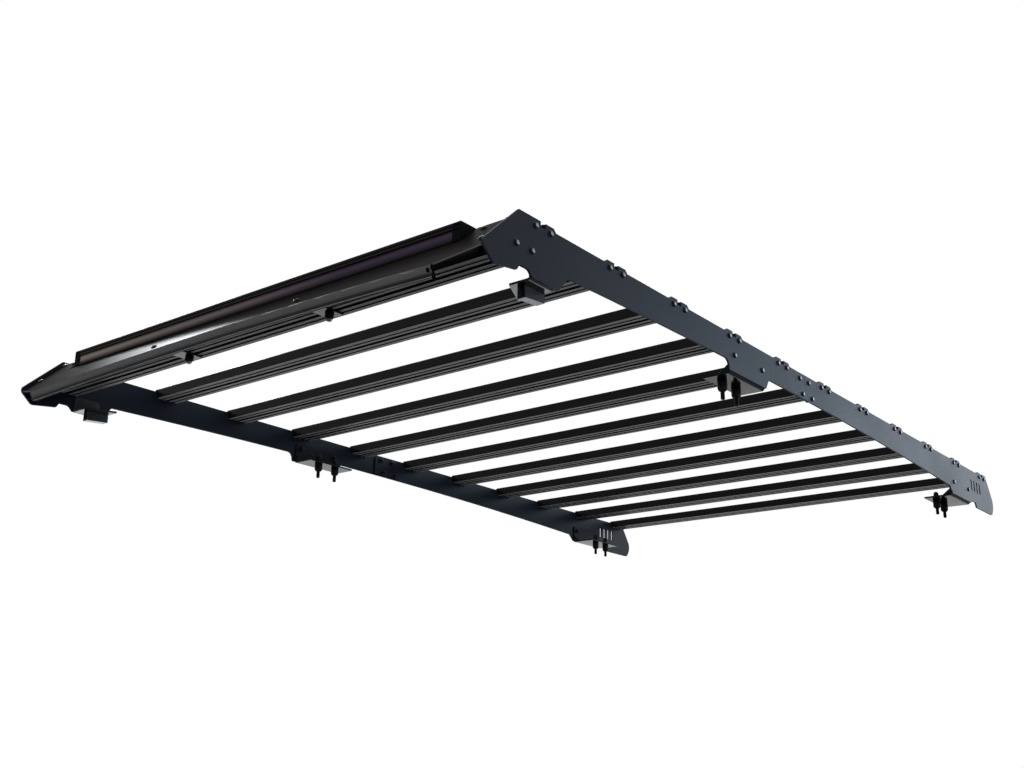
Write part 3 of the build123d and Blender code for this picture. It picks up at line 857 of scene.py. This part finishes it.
# %% Grip, bulb and painted highlight of the trim
GRIP_INSIDE = ((-0.1, 11.8), (-0.1, 14.2), (2.6, 14.2), (2.6, 11.8))
GRIP_REAR = ((4.4, 10.9), (5.1, 11.2), (5.5, 13), (5.4, 14.9), (4.2, 15.9))
GRIP_FRONT = ((-1.7, 15.9), (-2.9, 14.9), (-3.0, 13))
GRIP = ((-2.6, 11.2), (-1.9, 10.9)) + GRIP_INSIDE + GRIP_REAR + GRIP_FRONT
BULB_STEPS = 28
BULB_MIDDLE = (1.25, 17.0)
BULB_RADIUS = 2.5
BULB_BORE = 1.4
HIGHLIGHT_BEAD_MIDDLE = (-2.0, 16.5)
HIGHLIGHT_BEAD_RADIUS = 0.9


def round_profile(middle, radius):
    """A circle of (shift, depth) pairs for a sweep."""
    turns = [2 * pi * step / BULB_STEPS for step in range(BULB_STEPS)]
    return [(middle[0] + radius * cos(turn), middle[1] + radius * sin(turn)) for turn in turns]


corners, faces = skin(swept(GRIP))
outer_rows = swept(round_profile(BULB_MIDDLE, BULB_RADIUS))
bore_rows = swept(round_profile(BULB_MIDDLE, BULB_BORE))
for row, (outer, bore) in enumerate(zip(outer_rows, bore_rows)):
    first = len(corners)
    inner = first + BULB_STEPS
    first_before = first - 2 * BULB_STEPS
    inner_before = first - BULB_STEPS
    corners += outer + bore
    for step in range(BULB_STEPS):
        after = (step + 1) % BULB_STEPS
        if row > 0:
            faces.append((first_before + step, first_before + after, first + after, first + step))
            faces.append((inner_before + after, inner_before + step, inner + step, inner + after))
        if row in (0, ARCH_STEPS):
            faces.append((first + step, first + after, inner + after, inner + step))
trim = add_piece("edge_trim_rubber", corners, faces, edge_rubber)
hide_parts("fairing_edge_trim")
# Painted highlight: a pale bead between the grip and the bulb.
highlight_corners, highlight_faces = skin(swept(round_profile(HIGHLIGHT_BEAD_MIDDLE, HIGHLIGHT_BEAD_RADIUS)))
add_piece("edge_trim_highlight", highlight_corners, highlight_faces, painted_highlight_grey)
print("edge trim", len(faces), "faces, seam", len(highlight_faces))

# %% [markdown]
# At both ends the trim shows the open ends of its two tubes: short turned rings with a bore, set on
# the same slope as the fairing's bolts and facing outwards.

# %% Tube ends of the trim
TUBE_OUTSIDE = ((3.4, -0.6), (3.8, -0.3), (3.8, 0.5), (3.4, 0.9))
TUBE_BORE = ((2.2, 0.9), (2.0, 0.4), (1.9, -0.4))
TUBE_END = turned(*TUBE_OUTSIDE, *TUBE_BORE)
TUBE_PLACES = ((-7.5, 4.1), (-1.9, 18.1))
for side, outward in SIDES:
    ends = []
    for shift, depth in TUBE_PLACES:
        end_point = on_fairing(outward * NOSE_X, NOSE_END + shift, depth)
        ends.append((end_point, (outward, 0, 0)))
    # Painted shade: the tube ends take the dull black, which also paints the shade of their hollows.
    set_bodies(f"{side}_trim_tube_ends", [TUBE_END], ends, painted_shade_black)

# %% [markdown]
# The light bar has two black seals: one over the lens, one in the seam of its top band. Their dull
# black with no sheen also paints the shade of the groove that each lies in. A seal is a bead with a
# half round section, which two rows of points describe, one at each end of the bar.

# %% Seals of the light bar
SEAL_RISE = 0.4
SEAL_HALF = 0.9
SEAL_STEPS = 8
bar_low, bar_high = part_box("light_bar_housing")
lens_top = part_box("light_bar_lens")[1].z
bar_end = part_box("left_light_bar_end_cap")[1].x
corners = []
faces = []
for height in (lens_top, (lens_top + bar_high.z) / 2):
    rows = []
    for x in (-bar_end, bar_end):
        row = []
        for step in range(SEAL_STEPS + 1):
            angle = pi * step / SEAL_STEPS
            y = bar_low.y - SEAL_RISE * MM * sin(angle)
            row.append(Vector((x, y, height - SEAL_HALF * MM * cos(angle))))
        rows.append(row)
    body_corners, body_faces = skin(rows)
    faces += [tuple(len(corners) + index for index in face) for face in body_faces]
    corners += body_corners
# Painted shade: the seals' dull black stands for the shade of their grooves.
add_piece("light_bar_seals", corners, faces, painted_shade_black)
print("seals", len(faces), "faces")
